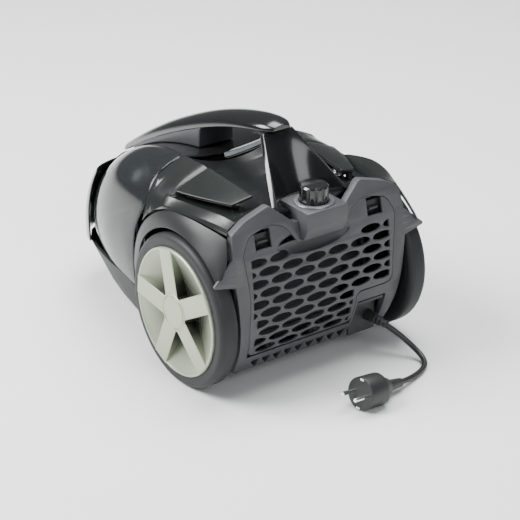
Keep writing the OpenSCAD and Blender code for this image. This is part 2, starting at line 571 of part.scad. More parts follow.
// ---------- motor, filters and cord reel ----------
motor_x = 36 * kx;
motor_z = 98 * kz;
motor_y0 = 54 * ky;
mount_w = 10;                      // width of the rubber rings that carry the motor
mount_ys = [motor_y0 + 6, motor_y0 + motor_len - 6 - mount_w];
module on_motor(y) translate([motor_x, y, motor_z]) rotate([-90, 0, 0]) children();
module motor_case() color(dark) on_motor(motor_y0) difference() {
    cylinder(h = motor_len, d = motor_d);
    translate([0, 0, 3]) cylinder(h = motor_len - 6, d = motor_d - 6);
    translate([0, 0, -1]) cylinder(h = 5, r = 16);
    translate([0, 0, motor_len - 4]) cylinder(h = 5, r = 6 + run_fit);
    for (i = [0:7]) rotate([0, 0, 45 * i]) translate([motor_d / 3, 0, motor_len - 4]) cylinder(h = 5, r = 6);
}
module motor_mounts() color(black) for (y = mount_ys) on_motor(y) difference() {
    cylinder(h = mount_w, d = motor_d + 8);
    translate([0, 0, -1]) cylinder(h = mount_w + 2, d = motor_d + 0.1);
}
module motor_stator() color(metal) on_motor(motor_y0 + 40) difference() {
    cylinder(h = 36, d = motor_d - 6.1);
    translate([0, 0, -1]) cylinder(h = 38, d = motor_d - 40);
}
module motor_shaft() color(metal) {
    on_motor(motor_y0 + 8) cylinder(h = motor_len - 7, r = 4);
    on_motor(motor_y0 + motor_len - 10) cylinder(h = 8, r = 6);
    on_motor(motor_y0 + 40) cylinder(h = 36, d = motor_d - 42);
}
blades = 9;
module fan_impeller() color(metal) on_motor(motor_y0 + 10) difference() {
    union() {
        cylinder(h = 2, d = motor_d - 14);
        cylinder(h = 16, r = 12);
        for (i = [0:blades - 1]) rotate([0, 0, i * 360 / blades]) translate([9, -0.8, 0])
            cube([motor_d / 2 - 17, 1.6, 14]);
    }
    translate([0, 0, -3]) cylinder(h = 30, r = 4 + 0.02);
}
module motor_filter() color([0.75, 0.76, 0.72]) translate([motor_x - 42, motor_y0 - 10 - seat_gap, motor_z - 32])
    cube([84, 10, 66]);
module exhaust_filter() color([0.8, 0.8, 0.76]) translate([step_x + 8, tray_rear_y - 15, deck_z + seat_gap])
    cube([tray_in - step_x - 14, 14, 96 * kz]);
module on_reel(x) translate([x, reel_y, reel_z]) rotate([0, 90, 0]) children();
module reel_frame() color(dark) {
    on_reel(reel_x - 6) cylinder(h = 3, d = reel_d - 10);
    on_reel(reel_x - 6) cylinder(h = reel_w + 14, r = 6);
    on_reel(reel_x + reel_w + 5) cylinder(h = 3, d = reel_d - 10);
    translate([reel_x - 6, brake_y - 10, reel_z]) cube([3, 20, brake_z + 8 - reel_z]);
    translate([reel_x - 6, brake_y, brake_z]) rotate([0, 90, 0]) cylinder(h = 15, r = brake_pin_r);
    for (x = [reel_x - 6, reel_x + reel_w + 5]) translate([x, reel_y - 20, floor_z + wall + seat_gap])
        cube([3, 40, 40 * kz]);
}
module reel_drum() color(grey) on_reel(reel_x) difference() {
    union() {
        cylinder(h = reel_t, d = reel_d);
        cylinder(h = reel_w, r = 20);
        translate([0, 0, reel_w - reel_t]) cylinder(h = reel_t, d = reel_d);
    }
    translate([0, 0, -1]) cylinder(h = reel_w + 2, r = 6 + run_fit);
}
module cord_winding() color(black) on_reel(reel_x + reel_t + 0.1) difference() {
    cylinder(h = reel_w - 2 * reel_t - 0.2, d = reel_d - 16);
    translate([0, 0, -1]) cylinder(h = reel_w, r = 20.1);
}

// ---------- caster ----------
caster_well_r = 30;
caster_top_z = 48;
caster_trail = 10;
pivot_r = 4;
fork_z = caster_d + 2;             // underside of the fork plate
fork_t = 3.4;
module caster_socket() color(dark) translate([0, caster_y, 0]) difference() {
    translate([0, 0, floor_z]) cylinder(h = caster_top_z - floor_z, r = caster_well_r + 3);
    translate([0, 0, floor_z - 1]) cylinder(h = fork_z + fork_t + seat_gap - floor_z + 1, r = caster_well_r);
    translate([0, 0, floor_z]) cylinder(h = 60, r = pivot_r + run_fit);
}
module caster_fork() color(black) translate([0, caster_y, 0]) difference() {
    union() {
        translate([0, 0, fork_z]) cylinder(h = fork_t, r = 14);
        translate([0, 0, fork_z]) cylinder(h = caster_top_z - fork_z + 4, r = pivot_r);
        for (s = [-1, 1]) translate([s * 10.5 - 1.5, -6, caster_d / 2 - 5])
            cube([3, caster_trail + 12, fork_z - caster_d / 2 + 7]);
    }
    translate([-20, caster_trail, caster_d / 2]) rotate([0, 90, 0]) cylinder(h = 40, r = 2);
}
module caster_axle() color(metal) translate([-13, caster_y + caster_trail, caster_d / 2]) rotate([0, 90, 0]) cylinder(h = 26, r = 1.98);
module caster_wheel() color(grey) translate([-8, caster_y + caster_trail, caster_d / 2]) rotate([0, 90, 0]) difference() {
    union() {
        translate([0, 0, 2]) cylinder(h = 12, d = caster_d);
        cylinder(h = 2, r1 = caster_d / 2 - 2, r2 = caster_d / 2);
        translate([0, 0, 14]) cylinder(h = 2, r1 = caster_d / 2, r2 = caster_d / 2 - 2);
    }
    translate([0, 0, -1]) cylinder(h = 20, r = 1.98 + run_fit);
}

// ---------- dust container and handle ----------
// Guide rows of the clear shell, rear to front: bottom edge, side, shoulder, crest, valley, middle
shell_rows = [
    [at(121, 0, 66), at(124.5, 3, 100), at(126, 8, 147), at(129.5, 34, 172), at(116, 31, 202), at(100, 26, 215),
     at(70, 23, 225), at(52, 20, 216), at(28, 18, 212), at(0, 18, 210)],
    [at(117, -22, 65), at(123, -22, 98), at(125, -20, 140), at(122, -18, 172), at(109, -16, 196), at(92, -16, 208),
     at(64, -18, 218), at(46, -20, 211), at(28, -20, 209), at(0, -20, 208)],
    [at(107, -75, 64), at(114, -76, 95), at(115, -76, 132), at(109, -76, 160), at(97, -75, 181), at(82, -75, 193),
     at(60, -75, 202), at(42, -75, 198), at(28, -75, 196), at(0, -75, 196)],
    [at(89, -132, 63), at(94, -134, 88), at(93.5, -134, 112), at(88.5, -132, 136), at(80, -130, 154), at(67, -128, 166),
     at(50, -126, 175), at(36, -126, 176), at(24, -126, 176), at(0, -126, 176)],
    [at(68, -164, 63), at(72, -166, 84), at(71, -165, 104), at(65, -162, 122), at(56, -159, 136), at(45, -157, 145),
     at(34, -156, 153), at(24, -156, 155), at(14, -156, 155), at(0, -156, 155)]
];
function mirror_half(row) = concat([for (p = row) p], [for (i = [len(row) - 2:-1:0]) [-row[i][0], row[i][1], row[i][2]]]);
module dust_container() color(smoke) skin(smooth_rows([for (row = shell_rows) mirror_half(row)], 4), wall);
// Floor and back wall of the container
back_mid_z = 140 * kz;
function back_outline(s, low) =
    let (half = concat([[shell_rows[0][0][0] - s, low]], [for (p = shell_rows[0])
            [p[0] * (1 - s / (125 * kx)), mix(back_mid_z, p[2], 1 - s / (75 * kz))]]))
    concat(half, [for (i = [len(half) - 2:-1:0]) [-half[i][0], half[i][1]]]);
back_tilt = atan(24 * ky / (149 * kz));
module back_plate(y, t, s, low) translate([0, y, deck_z]) rotate([-back_tilt, 0, 0]) translate([0, 0, -deck_z])
    along_y(0, t) polygon(back_outline(s, low));
port_x = motor_x;
port_z = motor_z;
module container_base() color(black) difference() {
    union() {
        back_plate(-7 * ky, 3, 5.2, deck_z + 2);
        loft([tray_ring(deck_z + 0.7, [for (p = tray_high) [min(p[0], 118 * kx) - 7, min(p[1] * 0.885, -6 * ky)]]),
              tray_ring(deck_z + 4, [for (p = tray_high) [min(p[0], 118 * kx) - 6, min(p[1] * 0.885, -6 * ky)]])]);
    }
    along_y(-20, 20) translate([port_x, port_z]) circle(r = 24);
}
module bulkhead() color(dark) difference() {
    back_plate(5 * ky, wall, 8, deck_z + 1.2);
    along_y(-30, 60) translate([port_x, port_z]) circle(r = 26);
}
inlet_z = 112 * kz;
module inlet_port() color(black) translate([0, nose_y, inlet_z]) rotate([-90, 0, 0]) rotate_extrude(convexity = 4)
    polygon([[inlet_d / 2, 0], [inlet_d / 2 + 7, 0], [inlet_d / 2 + 8, 2], [inlet_d / 2 + 8, 5],
             [inlet_d / 2 + 3, 6], [inlet_d / 2 + 3, inlet_depth], [inlet_d / 2, inlet_depth]]);
fascia_rows = 6;
fascia_half = [[62.8, 96.5], [90, 98], [112, 97.5], [136, 92.5], [152, 84]];
module front_fascia() color(black) difference() {
    skin([for (i = [0:fascia_rows]) let (t = i / fascia_rows, z = mix(62.8, 152, t), w = lookup(z, fascia_half),
              back = mix(-132, -135, t * t), depth = mix(71, 35, t ^ 1.6))
          [for (a = [-85:17:85]) at(w * sin(a), back - depth * cos(a) ^ 0.8, z)]], wall);
    along_y(nose_y - 10, nose_y + 60) translate([0, inlet_z]) circle(r = inlet_d / 2 + 3.3);
}
// Handle: grey root on the container, glossy cover arching back to the pillar
spine_top = [at(0, -196, 154), at(0, -150, 184), at(0, -104, 210), at(0, -61, 231), at(0, -7, 254),
    at(0, 40, 268), at(0, 77, 275.5), at(0, 104, 277), at(0, 118, 273)];
spine_half = [10, 16, 20, 22, 23, 23, 23, 21, 12];
spine_drop = [10, 14, 16, 17, 18, 16, 14, 11, 6];
function dome(p, half, drop) = [for (a = [0:20:180]) [half * cos(a), p[1], p[2] - drop + drop * sin(a) ^ 0.8]];
module spine_cover() color(black) loft([for (i = [0:len(spine_top) - 1])
    let (ring = dome(spine_top[i], spine_half[i] * kx, spine_drop[i] * kz)) ring]);
module handle_spine() color(grey) {
    valley = [for (row = smooth_rows(shell_rows, 4)) if (row[8][1] < -8 * ky) row[8]];
    high = [for (i = [1:4]) [spine_top[i][1], spine_top[i][2] - spine_drop[i] * kz]];
    along_x(-24 * kx, 24 * kx) polygon(concat([for (p = valley) [p[1], p[2] + seat_gap]],
        [for (p = high) [p[0], p[1] - seat_gap]]));
}
module release_button() color(dark) translate([-9, 84 * ky, 262.3 * kz - 4]) cube([18, 11, 4]);
module cyclone_cone() color(smoke) translate([0, -72 * ky, deck_z + 4.3]) difference() {
    cylinder(h = 108 * kz, r1 = 30, r2 = 46);
    translate([0, 0, 2]) cylinder(h = 108 * kz, r1 = 28, r2 = 44);
}
module dust_filter() color([0.85, 0.85, 0.82]) translate([0, -72 * ky, deck_z + 30]) difference() {
    union() {
        cylinder(h = 78 * kz, r = 24);
        translate([0, 0, 78 * kz]) cylinder(h = 2, r = 42.6);
    }
    for (i = [0:17]) rotate([0, 0, 20 * i]) translate([24, 0, 2]) cylinder(h = 78 * kz - 4, r = 1.6);
    translate([0, 0, 3]) cylinder(h = 90 * kz, r = 15);
}

// ---------- mains cord and plug, lying on the floor ----------
cord_route = [[-81, 191, 41], [-83, 197, 40], [-87, 203, 37.5], [-92, 208, 33], [-98, 213, 27], [-103, 219, 20],
    [-108, 226, 13], [-110, 234, 7], [-109, 241, 4], [-105, 249, 3.3], [-98, 256, 3.3], [-90, 261, 3.3],
    [-81, 265, 3.3], [-72, 268, 3.5], [-64, 270, 4.5], [-56, 272, 6.5], [-48, 274, 8.5]];
plug_tail = [-48, 274, 8.5];
plug_face = [16, 282, 19.2];
plug_r = 18.5;
pin_pitch = 19;
pin_d = 4.8;
pin_len = 19;
plug_dir = unit(plug_face - plug_tail);
plug_turn = [0, acos(plug_dir[2]), atan2(plug_dir[1], plug_dir[0])];
plug_len = norm(plug_face - plug_tail);
module cord() color(black) tube(cord_route, cord_d / 2, 10);
module plug_body() color(black) translate(plug_tail) rotate(plug_turn) difference() {
    union() {
        cylinder(h = 24, r1 = cord_d / 2 + 1.8, r2 = 7);
        translate([0, 0, 24]) cylinder(h = 14, r1 = 10, r2 = 14);
        translate([0, 0, 38]) cylinder(h = plug_len - 38, r = plug_r);
    }
    translate([0, 0, -1]) cylinder(h = 12, d = cord_d + 0.2);
}

module plug_contacts() color(metal) translate(plug_tail) rotate(plug_turn) translate([0, 0, plug_len]) {
    for (s = [-1, 1]) translate([0, s * pin_pitch / 2, 0]) {
        cylinder(h = pin_len - 1, d = pin_d);
        translate([0, 0, pin_len - 1]) cylinder(h = 1, d1 = pin_d, d2 = pin_d - 1.4);
    }
    for (s = [-1, 1]) translate([s * (plug_r - 2) - 1, -2.5, 0]) cube([2, 5, 0.8]);
}

chassis_base();
vent_skirt();
cord_bay();
bulkhead();
wheel_housing_left();
wheel_housing_right();
axles();
fender_left();
fender_right();
upper_housing();
rear_frame();
knob_housing();
knob_ring();
handle_pillar();
control_board();
main_switch();
motor_case();
motor_mounts();
motor_stator();
motor_filter();
exhaust_filter();
reel_frame();
caster_socket();
cord_gland();
body_screws();
tyre_left();
wheel_core_left();
hubcap_left();
tyre_right();
wheel_core_right();
hubcap_right();
caster_fork();
caster_wheel();
caster_axle();
power_knob();
power_pedal();
rewind_pedal();
power_spring();
rewind_spring();
switch_plunger();
brake_lever();
reel_drum();
cord_winding();
motor_shaft();
fan_impeller();
exhaust_grille();
grille_latch_left();
grille_latch_right();
dust_container();
container_base();
inlet_port();
front_fascia();
handle_spine();
spine_cover();
release_button();
cyclone_cone();
dust_filter();
cord();
plug_body();
plug_contacts();
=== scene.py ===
"""Looks of a bagless canister vacuum cleaner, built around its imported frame."""

from __future__ import annotations

import logging
import math
from dataclasses import dataclass
from enum import Enum
from typing import Iterable

import bpy
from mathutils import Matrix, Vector

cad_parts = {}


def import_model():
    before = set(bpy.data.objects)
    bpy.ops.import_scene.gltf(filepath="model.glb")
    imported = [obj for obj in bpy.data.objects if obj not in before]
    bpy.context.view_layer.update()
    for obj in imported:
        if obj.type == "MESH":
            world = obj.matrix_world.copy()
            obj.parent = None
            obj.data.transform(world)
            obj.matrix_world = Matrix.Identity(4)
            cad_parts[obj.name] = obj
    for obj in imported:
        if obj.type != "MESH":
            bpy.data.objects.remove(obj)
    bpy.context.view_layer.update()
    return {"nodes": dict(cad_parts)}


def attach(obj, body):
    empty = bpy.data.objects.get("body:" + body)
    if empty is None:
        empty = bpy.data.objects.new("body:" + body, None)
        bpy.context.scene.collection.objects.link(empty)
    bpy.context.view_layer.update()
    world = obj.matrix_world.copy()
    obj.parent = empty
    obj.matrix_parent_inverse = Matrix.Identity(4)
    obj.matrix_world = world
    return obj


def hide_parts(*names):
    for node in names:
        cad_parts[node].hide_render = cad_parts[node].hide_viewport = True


LOG = logging.getLogger("vacuum_cleaner")
MM = 0.001
WELD_M = 0.00001
WHEEL_Y = 117.5
WHEEL_Z = 88.0
FENDER_END_Y = 181.5
DUST_COLOUR = (0.42, 0.40, 0.37, 1.0)
ROUGHNESS_SPREAD = 0.12
WHITE = (1.0, 1.0, 1.0)


# --------------------------------------------------------------------------- shader helpers
class NodeTree:
    """A thin wrapper that adds and links shader nodes."""

    def __init__(self, tree: bpy.types.NodeTree) -> None:
        """Wraps an empty node tree.

        Args:
            tree: the material's or the group's node tree.
        """
        self.tree = tree

    def add(self, kind: str, **values: object) -> bpy.types.Node:
        """Adds one node and sets its properties and inputs.

        Args:
            kind: the node's type name.
            values: properties by name, or inputs by name with spaces written as underscores.

        Returns:
            The new node.
        """
        node = self.tree.nodes.new(kind)
        for name, value in values.items():
            if hasattr(node, name):
                setattr(node, name, value)
            else:
                self.feed(node.inputs[name.replace("_", " ")], value)
        return node

    def feed(self, socket: bpy.types.NodeSocket, value: object) -> None:
        """Sets a socket to a constant, or links another socket to it.

        Args:
            socket: the input to fill.
            value: a number, a colour or an output socket.
        """
        if isinstance(value, bpy.types.NodeSocket):
            self.tree.links.new(value, socket)
        else:
            socket.default_value = value

    def math(self, kind: str, first: object, second: object = 0.0) -> bpy.types.NodeSocket:
        """Adds a Math node.

        Args:
            kind: its operation.
            first: the first number or socket.
            second: the second number or socket.

        Returns:
            The result's socket.
        """
        node = self.tree.nodes.new("ShaderNodeMath")
        node.operation = kind
        self.feed(node.inputs[0], first)
        self.feed(node.inputs[1], second)
        return node.outputs[0]

    def blend(self, factor: object, low: object, high: object) -> bpy.types.NodeSocket:
        """Mixes two colours.

        Args:
            factor: 0 gives low and 1 gives high.
            low: the first colour or socket.
            high: the second colour or socket.

        Returns:
            The mixed colour's socket.
        """
        node = self.tree.nodes.new("ShaderNodeMix")
        node.data_type = "RGBA"
        self.feed(node.inputs["Factor"], factor)
        self.feed(node.inputs[6], low)
        self.feed(node.inputs[7], high)
        return node.outputs[2]

    def noise(self, scale: object, detail: float) -> bpy.types.NodeSocket:
        """Adds object-space noise.

        Args:
            scale: the pattern's frequency, in cycles per metre, or a socket.
            detail: the noise's octaves.

        Returns:
            The noise value's socket.
        """
        place = self.add("ShaderNodeTexCoord").outputs["Object"]
        return self.add("ShaderNodeTexNoise", Vector=place, Scale=scale, Detail=detail).outputs["Fac"]

    def ramp(self, value: object, start: float, end: float, first: float = 0.0,
             last: float = 1.0) -> bpy.types.NodeSocket:
        """Turns one range of numbers into another, held at its ends.

        Args:
            value: the number or socket.
            start: where the range begins.
            end: where the range ends.
            first: the result at its beginning.
            last: the result at its end.

        Returns:
            The result's socket.
        """
        node = self.tree.nodes.new("ShaderNodeMapRange")
        titles = ("Value", "From Min", "From Max", "To Min", "To Max")
        for title, number in zip(titles, (value, start, end, first, last)):
            self.feed(node.inputs[title], number)
        return node.outputs[0]


class Effects:
    """Shader node groups that several finishes share."""

    def __init__(self) -> None:
        """Builds each group once."""
        self.grain = self._grain()
        self.wear_and_highlight = self._wear_and_highlight()
        self.dust = self._dust()

    @staticmethod
    def _group(name: str, inputs: dict[str, float], outputs: Iterable[str]) -> tuple:
        """Starts a group with float sockets.

        Args:
            name: the group's name.
            inputs: the inputs with their defaults.
            outputs: the outputs.

        Returns:
            The group, its wrapper, and its input and output nodes.
        """
        group = bpy.data.node_groups.new(name, "ShaderNodeTree")
        for title, value in inputs.items():
            socket = group.interface.new_socket(title, in_out="INPUT",
                                                socket_type="NodeSocketFloat")
            socket.default_value = value
        for title in outputs:
            group.interface.new_socket(title, in_out="OUTPUT", socket_type="NodeSocketFloat")
        tree = NodeTree(group)
        return group, tree, tree.add("NodeGroupInput"), tree.add("NodeGroupOutput")

    def _grain(self) -> bpy.types.NodeTree:
        """The moulded grain of a plastic: a fine texture and a slow mottle.

        Returns:
            The node group.
        """
        group, tree, source, sink = self._group("moulded_grain", {"Scale": 1800.0},
                                                ("Height", "Mottle"))
        tree.feed(sink.inputs["Height"], tree.noise(source.outputs["Scale"], 3.0))
        tree.feed(sink.inputs["Mottle"], tree.noise(14.0, 3.0))
        return group

    def _wear_and_highlight(self) -> bpy.types.NodeTree:
        """Rubbed convex edges, broken up by noise: partly real wear, partly a painted highlight that
        lightens the edges.

        Returns:
            The node group.
        """
        group, tree, source, sink = self._group("edge_rub_and_highlight", {"Amount": 0.5}, ("Mask",))
        point = tree.add("ShaderNodeNewGeometry").outputs["Pointiness"]
        patchy = tree.math("MULTIPLY", tree.ramp(point, 0.52, 0.62), tree.noise(90.0, 3.0))
        tree.feed(sink.inputs["Mask"], tree.math("MULTIPLY", patchy, source.outputs["Amount"]))
        return group

    def _dust(self) -> bpy.types.NodeTree:
        """A light film of dust on faces that look up.

        Returns:
            The node group.
        """
        group, tree, source, sink = self._group("settled_dust", {"Amount": 0.1}, ("Mask",))
        normal = tree.add("ShaderNodeNewGeometry").outputs["Normal"]
        up = tree.add("ShaderNodeSeparateXYZ", Vector=normal).outputs["Z"]
        facing = tree.math("MAXIMUM", up, 0.0)
        cloudy = tree.math("MULTIPLY", facing, tree.noise(35.0, 4.0))
        tree.feed(sink.inputs["Mask"], tree.math("MULTIPLY", cloudy, source.outputs["Amount"]))
        return group


@dataclass(frozen=True)
class Finish:
    """How one surface looks."""

    name: str
    colour: tuple[float, float, float]
    roughness: float
    metallic: float = 0.0
    coat: float = 0.0
    grain: float = 0.15
    grain_scale: float = 1800.0
    mottle: float = 0.12
    # how much convex edges lighten: rubbed wear and a painted edge highlight
    wear_and_highlight: float = 0.35
    dust: float = 0.06
    transmission: float = 0.0
    ior: float = 1.5
    hub_shade: float = 0.0
    specular: float = 0.5

    def build(self, effects: Effects) -> bpy.types.Material:
        """Makes the material.

        Args:
            effects: the shared node groups.

        Returns:
            The material.
        """
        material = bpy.data.materials.new(self.name)
        material.use_nodes = True
        tree = NodeTree(material.node_tree)
        shader = material.node_tree.nodes["Principled BSDF"]
        base = (*self.colour, 1.0)
        grain = tree.add("ShaderNodeGroup", node_tree=effects.grain, Scale=self.grain_scale)
        wear_and_highlight = tree.add("ShaderNodeGroup", node_tree=effects.wear_and_highlight, Amount=self.wear_and_highlight)
        dust = tree.add("ShaderNodeGroup", node_tree=effects.dust, Amount=self.dust)
        shade = tuple(c * (1.0 - self.mottle) for c in self.colour) + (1.0,)
        light = tuple(min(1.0, c * (1.0 + self.mottle) + 0.002) for c in self.colour) + (1.0,)
        # convex edges lighter: partly rubbed wear, partly a painted edge highlight
        worn_and_highlight = tuple(min(1.0, c * 1.5 + 0.03) for c in self.colour) + (1.0,)
        tint = tree.blend(grain.outputs["Mottle"], shade, light)
        tint = tree.blend(wear_and_highlight.outputs["Mask"], tint, worn_and_highlight)
        tint = tree.blend(dust.outputs["Mask"], tint, DUST_COLOUR)
        # painted shade: the pockets darken towards the hub
        if self.hub_shade > 0.0:
            painted_hub_shade = (*(c * 0.05 for c in self.colour), 1.0)
            tint = tree.blend(self._near_hub(tree), tint, painted_hub_shade)
        tree.feed(shader.inputs["Base Color"], tint if self.transmission < 0.5 else base)
        spread = tree.math("MULTIPLY_ADD", grain.outputs["Mottle"], ROUGHNESS_SPREAD)
        spread.node.inputs[2].default_value = self.roughness - ROUGHNESS_SPREAD / 2
        dulled = tree.math("MULTIPLY", dust.outputs["Mask"], 0.5)
        tree.feed(shader.inputs["Roughness"], tree.math("ADD", spread, dulled))
        shader.inputs["Metallic"].default_value = self.metallic
        shader.inputs["Specular IOR Level"].default_value = self.specular
        shader.inputs["Coat Weight"].default_value = self.coat
        shader.inputs["Coat Roughness"].default_value = 0.12
        shader.inputs["Transmission Weight"].default_value = self.transmission
        shader.inputs["IOR"].default_value = self.ior
        bump = tree.add("ShaderNodeBump", Height=grain.outputs["Height"], Strength=self.grain,
                        Distance=0.2 * MM)
        tree.feed(shader.inputs["Normal"], bump.outputs[0])
        return material

    def _near_hub(self, tree: NodeTree) -> bpy.types.NodeSocket:
        """Painted shade that darkens a wheel's pockets towards its hub, where they lie deepest.

        Args:
            tree: the material's nodes.

        Returns:
            A mask that is strongest at the hub.
        """
        place = tree.add("ShaderNodeTexCoord").outputs["Object"]
        split = tree.add("ShaderNodeSeparateXYZ", Vector=place)
        across = tree.math("SUBTRACT", split.outputs["Y"], WHEEL_Y * MM)
        above = tree.math("SUBTRACT", split.outputs["Z"], WHEEL_Z * MM)
        flat = tree.add("ShaderNodeCombineXYZ", X=across, Y=above).outputs[0]
        reach = tree.add("ShaderNodeVectorMath", operation="LENGTH", Vector=flat).outputs["Value"]
        return tree.ramp(reach, 0.034, 0.072, self.hub_shade, 0.0)


class Surface(Enum):
    """The finishes of the vacuum cleaner."""

    GLOSS_BLACK = Finish("gloss_black", (0.005, 0.005, 0.006), 0.20, coat=0.4, grain=0.03, dust=0.015)
    SATIN_DARK = Finish("satin_dark", (0.010, 0.011, 0.012), 0.38, grain=0.20, dust=0.02,
                        specular=0.35)
    TRAY_DARK = Finish("tray_dark", (0.010, 0.010, 0.011), 0.55, grain=0.30, dust=0.03)
    FRAME_GREY = Finish("frame_grey", (0.052, 0.053, 0.057), 0.42, grain=0.15, mottle=0.06, dust=0.02,
                        specular=0.35)
    RING_GREY = Finish("ring_grey", (0.16, 0.17, 0.18), 0.30, metallic=0.5, grain=0.05, mottle=0.05)
    PEDAL = Finish("pedal_gloss", (0.010, 0.0125, 0.012), 0.24, coat=0.2, grain=0.06, dust=0.01,
                   specular=0.4)
    CHAMPAGNE = Finish("champagne", (0.34, 0.37, 0.28), 0.36, metallic=0.45, grain=0.10, mottle=0.05)
    # the hubcap pockets' finish, with painted shade darkening them towards the hub
    CHAMPAGNE_BOWL = Finish("champagne_bowl", (0.34, 0.37, 0.28), 0.38, metallic=0.45, grain=0.10,
                            mottle=0.05, hub_shade=0.93)
    TYRE = Finish("tyre_rubber", (0.016, 0.017, 0.019), 0.50, grain=0.30, grain_scale=900.0, dust=0.04,
                  specular=0.25)
    RUBBER = Finish("soft_rubber", (0.014, 0.014, 0.015), 0.45, grain=0.20, wear_and_highlight=0.2, dust=0.03)
    INNER = Finish("inner_plastic", (0.012, 0.012, 0.014), 0.5, dust=0.0)
    SMOKE = Finish("smoky_clear", (0.13, 0.145, 0.15), 0.08, grain=0.0, transmission=0.9, ior=1.3,
                   wear_and_highlight=0.0)
    STEEL = Finish("steel", (0.60, 0.60, 0.62), 0.32, metallic=1.0, grain=0.10)
    NICKEL = Finish("nickel", (0.85, 0.85, 0.84), 0.16, metallic=1.0, grain=0.03)
    FOAM = Finish("filter_foam", (0.008, 0.008, 0.009), 0.9, grain=0.6, grain_scale=500.0, dust=0.0)
    PLEATS = Finish("filter_pleats", (0.06, 0.06, 0.055), 0.8, grain=0.4, grain_scale=600.0,
                    dust=0.0)
    BOARD = Finish("circuit_board", (0.02, 0.10, 0.05), 0.4)
    CORD = Finish("cord_pvc", (0.011, 0.011, 0.012), 0.40, grain=0.25, grain_scale=700.0, wear_and_highlight=0.1,
                  dust=0.02)


class Finishes:
    """The built materials, by surface."""

    def __init__(self) -> None:
        """Builds the shared effects and every material."""
        effects = Effects()
        self._made = {surface: surface.value.build(effects) for surface in Surface}

    def dress(self, piece: bpy.types.Object, surface: Surface) -> None:
        """Gives a piece one finish all over.

        Args:
            piece: the object.
            surface: the finish.
        """
        piece.data.materials.clear()
        self.add(piece, surface)

    def add(self, piece: bpy.types.Object, surface: Surface) -> None:
        """Adds one more finish to a piece.

        Args:
            piece: the object.
            surface: the finish.
        """
        piece.data.materials.append(self._made[surface])


